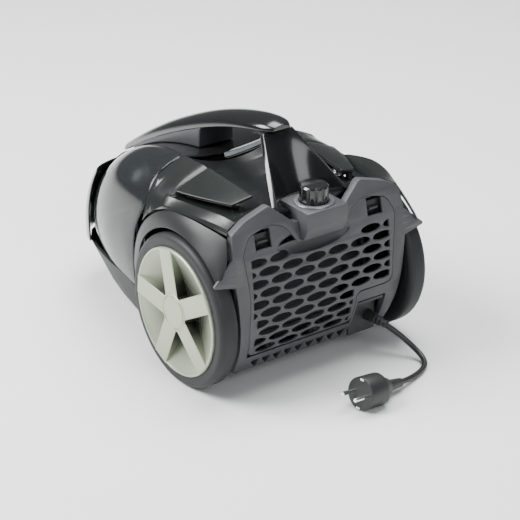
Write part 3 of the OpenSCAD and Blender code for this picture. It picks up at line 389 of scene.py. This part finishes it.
# --------------------------------------------------------------------------- modelling helpers
class Bench:
    """Modelling steps on the active object."""

    @staticmethod
    def clear() -> None:
        """Deselects everything."""
        if bpy.context.mode != "OBJECT":
            bpy.ops.object.mode_set(mode="OBJECT")
        bpy.ops.object.select_all(action="DESELECT")

    @staticmethod
    def pick(piece: bpy.types.Object) -> None:
        """Makes one object the only one selected and active.

        Args:
            piece: the object.
        """
        Bench.clear()
        piece.select_set(True)
        bpy.context.view_layer.objects.active = piece

    @staticmethod
    def stand(name: str, data: bpy.types.ID) -> bpy.types.Object:
        """Stands a new object in the scene.

        Args:
            name: its name.
            data: its mesh, curve, camera or light.

        Returns:
            The object.
        """
        piece = bpy.data.objects.new(name, data)
        bpy.context.scene.collection.objects.link(piece)
        return piece

    @staticmethod
    def edit(piece: bpy.types.Object, *steps: tuple) -> None:
        """Runs mesh operators on the whole of a piece.

        Args:
            piece: the object.
            steps: pairs of an operator and its settings, in order.
        """
        Bench.pick(piece)
        bpy.ops.object.mode_set(mode="EDIT")
        for operator, values in steps:
            bpy.ops.mesh.select_all(action="SELECT")
            operator(**values)
        bpy.ops.object.mode_set(mode="OBJECT")

    @staticmethod
    def settle(piece: bpy.types.Object, name: str) -> bpy.types.Object:
        """Names a piece and moves its place into its mesh.

        Args:
            piece: the object.
            name: its new name.

        Returns:
            The same object.
        """
        Bench.pick(piece)
        bpy.ops.object.transform_apply(location=True, rotation=True, scale=True)
        piece.name = name
        piece.data.name = name
        return piece

    @staticmethod
    def modify(piece: bpy.types.Object, kind: str, **values: object) -> None:
        """Adds a modifier and applies it.

        Args:
            piece: the object.
            kind: the modifier's type.
            values: its settings.
        """
        Bench.pick(piece)
        modifier = piece.modifiers.new(kind.lower(), kind)
        for name, value in values.items():
            setattr(modifier, name, value)
        bpy.ops.object.modifier_apply(modifier=modifier.name)

    @staticmethod
    def smooth(piece: bpy.types.Object, angle: float = 35.0) -> None:
        """Shades a piece smooth up to an angle.

        Args:
            piece: the object.
            angle: edges sharper than this stay sharp, in degrees.
        """
        Bench.pick(piece)
        bpy.ops.object.shade_smooth_by_angle(angle=math.radians(angle))

    @staticmethod
    def copy_of(node: str, name: str) -> bpy.types.Object:
        """Copies a CAD node as a welded mesh of its own.

        Args:
            node: the node.
            name: the new piece's name.

        Returns:
            The new piece.
        """
        piece = Bench.stand(name, bpy.data.objects[node].data.copy())
        Bench.edit(piece, (bpy.ops.mesh.remove_doubles, {"threshold": WELD_M}))
        if piece.data.has_custom_normals:
            bpy.ops.mesh.customdata_custom_splitnormals_clear()
        return piece

    @staticmethod
    def flatten(piece: bpy.types.Object, angle: float = 0.5) -> None:
        """Joins coplanar triangles into whole faces.

        Args:
            piece: the object.
            angle: the most that joined faces may differ, in degrees.
        """
        Bench.edit(piece, (bpy.ops.mesh.dissolve_limited, {"angle_limit": math.radians(angle)}))

    @staticmethod
    def quads(piece: bpy.types.Object, angle: float = 50.0) -> None:
        """Joins pairs of triangles into four-sided faces.

        Args:
            piece: the object.
            angle: the most that a pair may fold and skew, in degrees.
        """
        limits = {"face_threshold": math.radians(angle), "shape_threshold": math.radians(angle)}
        Bench.edit(piece, (bpy.ops.mesh.tris_convert_to_quads, limits))

    @staticmethod
    def box(size: Vector, name: str) -> bpy.types.Object:
        """Adds a box about the origin.

        Args:
            size: its sides, in millimetres.
            name: its name.

        Returns:
            The box.
        """
        Bench.clear()
        bpy.ops.mesh.primitive_cube_add(size=1.0, location=(0.0, 0.0, 0.0))
        bpy.context.object.scale = size * MM
        return Bench.settle(bpy.context.object, name)

    @staticmethod
    def join(pieces: list[bpy.types.Object], name: str) -> bpy.types.Object:
        """Joins pieces into the first.

        Args:
            pieces: the pieces.
            name: the joined piece's name.

        Returns:
            The joined piece.
        """
        Bench.pick(pieces[0])
        for piece in pieces:
            piece.select_set(True)
        bpy.ops.object.join()
        return Bench.settle(pieces[0], name)

    @staticmethod
    def turned(profile: list[tuple[float, float]], steps: int, name: str) -> bpy.types.Object:
        """Turns a profile, open on the axle, about the wheel's axle.

        Args:
            profile: pairs of radius and x, in millimetres, in order, from axle to axle.
            steps: the divisions of the turn.
            name: the piece's name.

        Returns:
            The turned piece.
        """
        mesh = bpy.data.meshes.new(name)
        points = [(x * MM, WHEEL_Y * MM, (WHEEL_Z + r) * MM) for r, x in profile]
        mesh.from_pydata(points, [(i, i + 1) for i in range(len(points) - 1)], [])
        piece = Bench.stand(name, mesh)
        turn = {"steps": steps, "angle": math.tau, "axis": (1.0, 0.0, 0.0),
                "center": (0.0, WHEEL_Y * MM, WHEEL_Z * MM)}
        Bench.edit(piece, (bpy.ops.mesh.spin, turn), (bpy.ops.mesh.remove_doubles, {"threshold": WELD_M}),
                   (bpy.ops.mesh.normals_make_consistent, {"inside": False}))
        return piece

    @staticmethod
    def tube(name: str, radius: float, kind: str, count: int) -> tuple:
        """Adds a round curve with capped ends.

        Args:
            name: its name.
            radius: its radius, in millimetres.
            kind: its spline's type.
            count: how many points it has.

        Returns:
            The curve's object and its spline.
        """
        curve = bpy.data.curves.new(name, "CURVE")
        curve.dimensions = "3D"
        curve.bevel_depth = radius * MM
        curve.bevel_resolution = 6
        curve.use_fill_caps = True
        spline = curve.splines.new(kind)
        spline.points.add(count - 1)
        return Bench.stand(name, curve), spline

    @staticmethod
    def mirror(piece: bpy.types.Object) -> None:
        """Mirrors a piece to the right side, with its faces still outward.

        Args:
            piece: the piece.
        """
        Bench.pick(piece)
        piece.scale = (-1.0, 1.0, 1.0)
        bpy.ops.object.transform_apply(location=False, rotation=False, scale=True)
        Bench.edit(piece, (bpy.ops.mesh.normals_make_consistent, {"inside": False}))


@dataclass
class Refined:
    """A CAD node that is shown as a softened copy of itself."""

    node: str
    body: str
    surface: Surface
    bevel: float = 0.6
    sharp: float = 28.0
    rounds: int = 0
    segments: int = 2
    rear_reach: float = 0.0

    def build(self, finishes: Finishes) -> bpy.types.Object:
        """Builds the softened copy and puts it in the node's place.

        Args:
            finishes: the materials.

        Returns:
            The piece.
        """
        piece = Bench.copy_of(self.node, f"{self.node}_finished")
        if self.rear_reach:
            for vertex in piece.data.vertices:
                if vertex.co.y > FENDER_END_Y * MM:
                    vertex.co += Vector((0.0, self.rear_reach, -self.rear_reach)) * MM
        if self.rounds:
            Bench.quads(piece)
        else:
            Bench.flatten(piece)
        if self.bevel > 0:
            Bench.modify(piece, "BEVEL", width=self.bevel * MM, segments=self.segments,
                         limit_method="ANGLE", angle_limit=math.radians(self.sharp),
                         harden_normals=False, use_clamp_overlap=True)
        if self.rounds:
            Bench.modify(piece, "SUBSURF", levels=self.rounds, render_levels=self.rounds)
        Bench.smooth(piece)
        finishes.dress(piece, self.surface)
        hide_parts(self.node)
        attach(piece, self.body)
        return piece


# --------------------------------------------------------------------------- camera and stage
@dataclass(frozen=True)
class Studio:
    """The floor, the lights and the camera."""

    eye: tuple[float, float, float] = (1.0555, 1.5248, 0.9494)
    back: tuple[float, float, float] = (0.5318, 0.7293, 0.4305)
    lens: float = 119.98
    sensor: float = 36.0
    aim: tuple[float, float, float] = (0.0, 0.0, 0.12)
    floor_side: float = 12.0
    floor_colour: tuple[float, float, float, float] = (0.82, 0.83, 0.82, 1.0)
    floor_roughness: float = 0.55
    world_colour: tuple[float, float, float, float] = (0.78, 0.83, 0.84, 1.0)
    world_strength: float = 0.16

    def camera(self) -> None:
        """Sets the camera level, behind and to the left of the machine."""
        data = bpy.data.cameras.new("camera")
        data.lens = self.lens
        data.sensor_width = self.sensor
        data.clip_end = 30.0
        camera = Bench.stand("camera", data)
        camera.location = self.eye
        camera.rotation_euler = (-Vector(self.back)).to_track_quat("-Z", "Y").to_euler()
        bpy.context.scene.camera = camera

    def floor(self) -> None:
        """Lays a wide, flat, pale floor."""
        Bench.clear()
        bpy.ops.mesh.primitive_plane_add(size=self.floor_side, location=(0.0, 0.0, 0.0))
        floor = Bench.settle(bpy.context.object, "studio_floor")
        material = bpy.data.materials.new("pale_floor")
        material.use_nodes = True
        shader = material.node_tree.nodes["Principled BSDF"]
        shader.inputs["Base Color"].default_value = self.floor_colour
        shader.inputs["Roughness"].default_value = self.floor_roughness
        floor.data.materials.append(material)

    def lamp(self, name: str, spot: tuple, size: float, power: float, colour: tuple) -> None:
        """Adds a square soft light that faces the machine.

        Args:
            name: the light's name.
            spot: its place.
            size: its side.
            power: its strength in watts.
            colour: its colour.
        """
        data = bpy.data.lights.new(name, "AREA")
        data.size = size
        data.energy = power
        data.color = colour
        lamp = Bench.stand(name, data)
        lamp.location = spot
        lamp.rotation_euler = (Vector(self.aim) - Vector(spot)).to_track_quat("-Z", "Y").to_euler()

    def build(self) -> None:
        """Sets up everything around the machine."""
        self.floor()
        self.lamp("key", spot=(1.7, -0.9, 2.0), size=1.5, power=175.0, colour=WHITE)
        self.lamp("fill", spot=(0.2, 2.6, 1.6), size=1.6, power=34.0, colour=(0.95, 0.98, 1.0))
        self.lamp("top", spot=(-0.6, -0.2, 2.4), size=1.8, power=110.0, colour=WHITE)
        world = bpy.data.worlds.new("studio")
        bpy.context.scene.world = world
        world.use_nodes = True
        sky = world.node_tree.nodes["Background"]
        sky.inputs["Color"].default_value = self.world_colour
        sky.inputs["Strength"].default_value = self.world_strength


PLAIN: dict[str, Surface] = {
    "bulkhead": Surface.SATIN_DARK, "axles": Surface.STEEL, "control_board": Surface.BOARD,
    "main_switch": Surface.INNER, "motor_case": Surface.INNER, "motor_mounts": Surface.RUBBER,
    "motor_stator": Surface.STEEL, "motor_filter": Surface.PLEATS, "exhaust_filter": Surface.FOAM,
    "reel_frame": Surface.INNER, "body_screws": Surface.STEEL, "wheel_core_left": Surface.INNER,
    "wheel_core_right": Surface.INNER, "caster_axle": Surface.STEEL, "power_spring": Surface.STEEL,
    "rewind_spring": Surface.STEEL, "switch_plunger": Surface.INNER, "brake_lever": Surface.INNER,
    "reel_drum": Surface.INNER, "cord_winding": Surface.CORD, "motor_shaft": Surface.STEEL,
    "fan_impeller": Surface.STEEL, "cyclone_cone": Surface.INNER, "dust_filter": Surface.PLEATS,
    "plug_contacts": Surface.NICKEL, "cord_bay": Surface.INNER,
}

SOFTENED: tuple[Refined, ...] = (
    Refined("chassis_base", "body", Surface.TRAY_DARK, 0.8, 30.0),
    Refined("vent_skirt", "body", Surface.INNER, 0.5),
    Refined("wheel_housing_left", "body", Surface.SATIN_DARK, 0.6),
    Refined("wheel_housing_right", "body", Surface.SATIN_DARK, 0.6),
    Refined("fender_left", "body", Surface.SATIN_DARK, 0.7, 30.0, 2, rear_reach=4.0),
    Refined("fender_right", "body", Surface.SATIN_DARK, 0.7, 30.0, 2, rear_reach=4.0),
    Refined("upper_housing", "body", Surface.PEDAL, 0.8, 26.0, 2),
    Refined("rear_frame", "body", Surface.FRAME_GREY, 1.0, 25.0),
    Refined("knob_housing", "body", Surface.FRAME_GREY, 1.4, 25.0, 0, 3),
    Refined("knob_ring", "body", Surface.RING_GREY, 0.4),
    Refined("handle_pillar", "body", Surface.GLOSS_BLACK, 1.4, 40.0, 2),
    Refined("caster_socket", "body", Surface.SATIN_DARK, 0.5),
    Refined("cord_gland", "body", Surface.RUBBER, 0.4),
    Refined("tyre_left", "wheel_left", Surface.TYRE, 0.5, 40.0),
    Refined("tyre_right", "wheel_right", Surface.TYRE, 0.5, 40.0),
    Refined("caster_fork", "caster_swivel", Surface.SATIN_DARK, 0.5),
    Refined("caster_wheel", "caster_roller", Surface.INNER, 0.5),
    Refined("power_knob", "knob", Surface.GLOSS_BLACK, 0.5, 30.0),
    Refined("power_pedal", "power_pedal", Surface.PEDAL, 1.0, 40.0, 2, 3),
    Refined("rewind_pedal", "rewind_pedal", Surface.PEDAL, 1.0, 40.0, 2, 3),
    Refined("exhaust_grille", "exhaust_door", Surface.FRAME_GREY, 0.5, 30.0),
    Refined("grille_latch_left", "latch_left", Surface.SATIN_DARK, 0.4),
    Refined("grille_latch_right", "latch_right", Surface.SATIN_DARK, 0.4),
    Refined("container_base", "container", Surface.GLOSS_BLACK, 0.6),
    Refined("inlet_port", "container", Surface.GLOSS_BLACK, 0.6),
    Refined("front_fascia", "container", Surface.GLOSS_BLACK, 0.7, 40.0, 1),
    Refined("handle_spine", "container", Surface.FRAME_GREY, 2.0, 30.0, 0, 3),
    Refined("spine_cover", "container", Surface.GLOSS_BLACK, 1.0, 40.0, 2),
    Refined("release_button", "release_button", Surface.SATIN_DARK, 0.6),
)


@dataclass
class Hubcap:
    """A five-spoke wheel cover with bowl-shaped pockets."""

    side: str
    spokes: int = 5
    first_turn: float = 12.0
    spoke_w: float = 23.0
    face_x: float = 146.0
    rim_x: float = 144.9
    floor_x: float = 132.6
    back_x: float = 135.8
    hub_r: float = 22.0
    ring_r: float = 19.0
    rim_r: float = 73.5
    root_w: float = 1.5
    lip_w: float = 3.0
    wall: float = 1.2
    sink: float = 0.4
    bowl_power: float = 1.9
    rib_r: float = 27.0
    rib_gap: float = 3.6
    rib_len: float = 12.0
    rib_w: float = 0.9
    rib_step: float = 4.0
    rib_count: int = 4

    def _floor(self, radius: float) -> float:
        """Finds how far out the pockets' floor is.

        Args:
            radius: the distance from the axle.

        Returns:
            The floor's place along the axle.
        """
        reach = self.rim_r - self.lip_w - self.hub_r - self.root_w
        share = max(0.0, (radius - self.hub_r - self.root_w) / reach)
        return self.floor_x + (self.rim_x - self.sink - self.floor_x) * share ** self.bowl_power

    def _dish(self) -> bpy.types.Object:
        """Turns the hub, the pockets' floor and the rim in one profile.

        Returns:
            The dish.
        """
        face, ring, hub, rim = self.face_x, self.ring_r, self.hub_r, self.rim_r
        groove, edge, round_off, rings = 0.8, 0.5, 0.7, 12
        reach = rim - self.lip_w - hub - self.root_w
        radii = [hub + self.root_w + k * reach / rings for k in range(rings + 1)]
        front = [(0.0, face), (ring - groove, face), (ring - groove / 2, face - groove),
                 (ring + groove / 2, face - groove), (ring + groove, face),
                 (hub - edge, face), (hub, face - edge), (hub + 0.6, self.floor_x + edge)]
        bowl = [(r, self._floor(r)) for r in radii]
        lip = [(rim - 2.6, self.rim_x), (rim - round_off, self.rim_x), (rim, self.rim_x - round_off),
               (rim, self.back_x), (rim - 6.0, self.back_x)]
        back = [(r, self._floor(r) - self.wall) for r in reversed(radii[:-2])]
        core = [(hub - 2.0, self.floor_x - self.wall), (hub - 2.0, self.back_x), (0.0, self.back_x)]
        return Bench.turned(front + bowl + lip + back + core, 96, "dish")

    def _spoke(self, index: int) -> bpy.types.Object:
        """Builds one spoke, with rounded edges.

        Args:
            index: which spoke, counted from the first.

        Returns:
            The spoke.
        """
        turn = math.radians(self.first_turn + 360.0 / self.spokes * index)
        low, high = self.hub_r - 5.0, self.rim_r - 0.9
        out = Vector((0.0, -math.sin(turn), math.cos(turn)))
        depth = self.face_x - self.sink - self.floor_x + 0.8
        spoke = Bench.box(Vector((depth, self.spoke_w, high - low)), "spoke")
        Bench.modify(spoke, "BEVEL", width=0.8 * MM, segments=3, limit_method="ANGLE",
                     angle_limit=math.radians(40.0))
        spoke.rotation_euler = (turn, 0.0, 0.0)
        across = self.face_x - self.sink - depth / 2
        spoke.location = (Vector((across, WHEEL_Y, WHEEL_Z)) + out * (low + high) / 2) * MM
        return Bench.settle(spoke, "spoke")

    def _ribs(self, index: int) -> list[bpy.types.Object]:
        """Builds the small grid of ribs at the inner end of one pocket.

        Args:
            index: which pocket, counted from the first spoke.

        Returns:
            The ribs.
        """
        turn = math.radians(self.first_turn + 360.0 / self.spokes * (index + 0.5))
        out = Vector((0.0, -math.sin(turn), math.cos(turn)))
        along = Vector((0.0, math.cos(turn), math.sin(turn)))
        middle = self.rib_r + self.rib_gap * (self.rib_count - 1) / 2
        ribs = []
        for step in range(self.rib_count):
            wide = (self.wall, self.rib_len + self.rib_step * step, self.rib_w)
            tall = (self.wall, self.rib_w, self.rib_len)
            aside = self.rib_step * ((self.rib_count - 1) / 2 - step)
            for reach, shift, size in ((self.rib_r + self.rib_gap * step, 0.0, wide), (middle, aside, tall)):
                rib = Bench.box(Vector(size), "rib")
                rib.rotation_euler = (turn, 0.0, 0.0)
                place = Vector((self._floor(reach) + 0.5, WHEEL_Y, WHEEL_Z)) + out * reach + along * shift
                rib.location = place * MM
                ribs.append(Bench.settle(rib, "rib"))
        return ribs

    def build(self, finishes: Finishes) -> bpy.types.Object:
        """Builds the cover.

        Args:
            finishes: the materials.

        Returns:
            The cover.
        """
        name = f"hubcap_{self.side}"
        parts = [self._dish()]
        for index in range(self.spokes):
            parts.extend([self._spoke(index), *self._ribs(index)])
        cover = Bench.join(parts, f"{name}_finished")
        if self.side == "right":
            Bench.mirror(cover)
        Bench.smooth(cover)
        finishes.dress(cover, Surface.CHAMPAGNE)
        finishes.add(cover, Surface.CHAMPAGNE_BOWL)
        # faces inside the rim take the pockets' finish, with its painted shade
        for face in cover.data.polygons:
            if abs(face.center.x) < (self.rim_x - 0.2) * MM:
                face.material_index = 1
        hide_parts(name)
        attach(cover, f"wheel_{self.side}")
        return cover


@dataclass
class Container:
    """The clear dust container, opaque black along the handle's valley."""

    valley: float = 52.0
    floor_line: float = 66.0

    def build(self, finishes: Finishes) -> bpy.types.Object:
        """Builds the container from its node.

        Args:
            finishes: the materials.

        Returns:
            The container.
        """
        piece = Bench.copy_of("dust_container", "dust_container_finished")
        Bench.quads(piece)
        Bench.modify(piece, "SUBSURF", levels=1, render_levels=1)
        Bench.smooth(piece, 40.0)
        finishes.dress(piece, Surface.SMOKE)
        finishes.add(piece, Surface.GLOSS_BLACK)
        for face in piece.data.polygons:
            centre = face.center / MM
            if abs(centre.x) < self.valley or centre.z < self.floor_line:
                face.material_index = 1
        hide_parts("dust_container")
        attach(piece, "container")
        return piece


@dataclass
class StrainRelief:
    """The ribbed sleeve that tapers along the cord where it leaves the housing."""

    path: tuple[tuple[float, float, float], ...] = (
        (-81, 174, 41), (-81, 182, 41), (-81.4, 190, 40.9), (-83.4, 197, 39.8), (-86.8, 203, 37.3))
    root_r: float = 6.8
    tip_r: float = 4.4
    ribs: int = 7
    rib_steps: int = 6
    raised_steps: int = 4
    groove: float = 0.7

    def _along(self, share: float) -> Vector:
        """Finds a point along the path.

        Args:
            share: 0 at the root and 1 at the tip.

        Returns:
            The point, in millimetres.
        """
        spans = len(self.path) - 1
        step = min(int(share * spans), spans - 1)
        t = share * spans - step
        ends = [Vector(self.path[max(0, min(spans, step + k))]) for k in (-1, 0, 1, 2)]
        return 0.5 * (2.0 * ends[1] + (ends[2] - ends[0]) * t
                      + (2.0 * ends[0] - 5.0 * ends[1] + 4.0 * ends[2] - ends[3]) * t * t
                      + (3.0 * ends[1] - ends[0] - 3.0 * ends[2] + ends[3]) * t ** 3)

    def build(self, finishes: Finishes) -> bpy.types.Object:
        """Builds the sleeve as a curve with a radius of its own at each point.

        Args:
            finishes: the materials.

        Returns:
            The sleeve.
        """
        steps = self.ribs * self.rib_steps
        sleeve, spline = Bench.tube("cord_sleeve", 1.0, "POLY", steps + 1)
        for i, point in enumerate(spline.points):
            share = i / steps
            taper = self.root_r + (self.tip_r - self.root_r) * share
            point.co = (*(self._along(share) * MM), 1.0)
            point.radius = taper if i % self.rib_steps < self.raised_steps else taper - self.groove
        finishes.dress(sleeve, Surface.RUBBER)
        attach(sleeve, "body")
        return sleeve


@dataclass
class MainsLead:
    """The mains cord, from its gland to the plug on the floor."""

    diameter: float = 6.5
    route: tuple[tuple[float, float, float], ...] = (
        (-81, 191, 41), (-83.5, 198, 39.5), (-92, 208, 32), (-103, 220, 19), (-110, 235, 7.5),
        (-106, 250, 3.4), (-91, 261, 3.3), (-70, 268, 3.8), (-48, 274, 8.5))

    def build(self, finishes: Finishes) -> bpy.types.Object:
        """Lays the cord along its route.

        Args:
            finishes: the materials.

        Returns:
            The cord.
        """
        cord, spline = Bench.tube("mains_cord", self.diameter / 2, "NURBS", len(self.route))
        for point, place in zip(spline.points, self.route):
            point.co = (*(Vector(place) * MM), 1.0)
        spline.use_endpoint_u = True
        spline.order_u = 4
        spline.resolution_u = 6
        finishes.dress(cord, Surface.CORD)
        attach(cord, "body")
        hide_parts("cord")
        plug = Refined("plug_body", "body", Surface.RUBBER, 1.2, 25.0, 0, 3).build(finishes)
        spans = zip(self.route, self.route[1:])
        length = sum((Vector(a) - Vector(b)).length for a, b in spans) * MM
        return cord


def main() -> None:
    """Builds the machine's looks in order."""
    logging.basicConfig(level=logging.INFO, format="%(name)s: %(message)s")
    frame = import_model()
    studio = Studio()
    studio.camera()
    finishes = Finishes()
    MainsLead().build(finishes)
    StrainRelief().build(finishes)
    for refined in SOFTENED:
        piece = refined.build(finishes)
        LOG.info("%s: %d faces", piece.name, len(piece.data.polygons))
    Container().build(finishes)
    for side in ("left", "right"):
        Hubcap(side).build(finishes)
        LOG.info("hubcap_%s built", side)
    for node, surface in PLAIN.items():
        finishes.dress(frame["nodes"][node], surface)
    studio.build()


if __name__ == "__main__":
    main()
